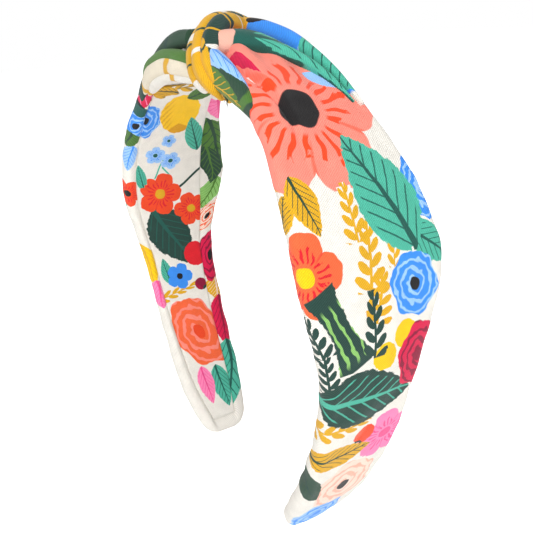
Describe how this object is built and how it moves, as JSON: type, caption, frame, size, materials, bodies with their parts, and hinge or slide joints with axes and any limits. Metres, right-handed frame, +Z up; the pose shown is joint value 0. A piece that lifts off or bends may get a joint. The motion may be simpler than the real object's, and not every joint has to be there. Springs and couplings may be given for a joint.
{
  "type": "knotted headband",
  "caption": "Fabric-covered hair band with a knot at the crown, broad leaf-shaped wings that narrow down each leg, and a glued lining strip.",
  "frame": {"origin": "on the axis of the head that wears the band, at the centre of the crown's circle and of the band's width", "axes": "+Z up through the knot, +X to the right leg, +Y to the back edge of the band"},
  "size_m": [0.1346, 0.0421, 0.1563],
  "materials": {
    "printed_cotton": "matt fine twill, printed with flowers and leaves",
    "lining_cotton": "matt fine twill, same print",
    "wadding": "soft needled wadding",
    "spring_plastic": "moulded, satin"
  },
  "bodies": {
    "crown": {"crown_core": "spring_plastic", "knot_left_gather": "printed_cotton", "knot_middle_roll": "printed_cotton", "knot_front_roll": "printed_cotton", "knot_back_roll": "printed_cotton", "knot_wrap": "printed_cotton", "knot_under_wrap": "printed_cotton", "knot_raw_end": "printed_cotton"},
    "left_leg": {"left_core": "spring_plastic", "left_padding": "wadding", "left_cover": "printed_cotton", "left_front_hem": "printed_cotton", "left_back_hem": "printed_cotton", "left_lining": "lining_cotton", "left_tip_tuck": "printed_cotton"},
    "right_leg": {"right_core": "spring_plastic", "right_padding": "wadding", "right_cover": "printed_cotton", "right_front_hem": "printed_cotton", "right_back_hem": "printed_cotton", "right_lining": "lining_cotton", "right_tip_tuck": "printed_cotton"}
  },
  "joints": [
    {"name": "left_leg_flex", "type": "hinge", "parent": "crown", "child": "left_leg", "pos_m": [-0.02516, 0, 0.05928], "axis": [0, 1, 0], "range_deg": [-4, 10], "stiffness_Nm_per_rad": 1.5},
    {"name": "right_leg_flex", "type": "hinge", "parent": "crown", "child": "right_leg", "pos_m": [0.02516, 0, 0.05928], "axis": [0, -1, 0], "range_deg": [-4, 10], "stiffness_Nm_per_rad": 1.5}
  ]
}
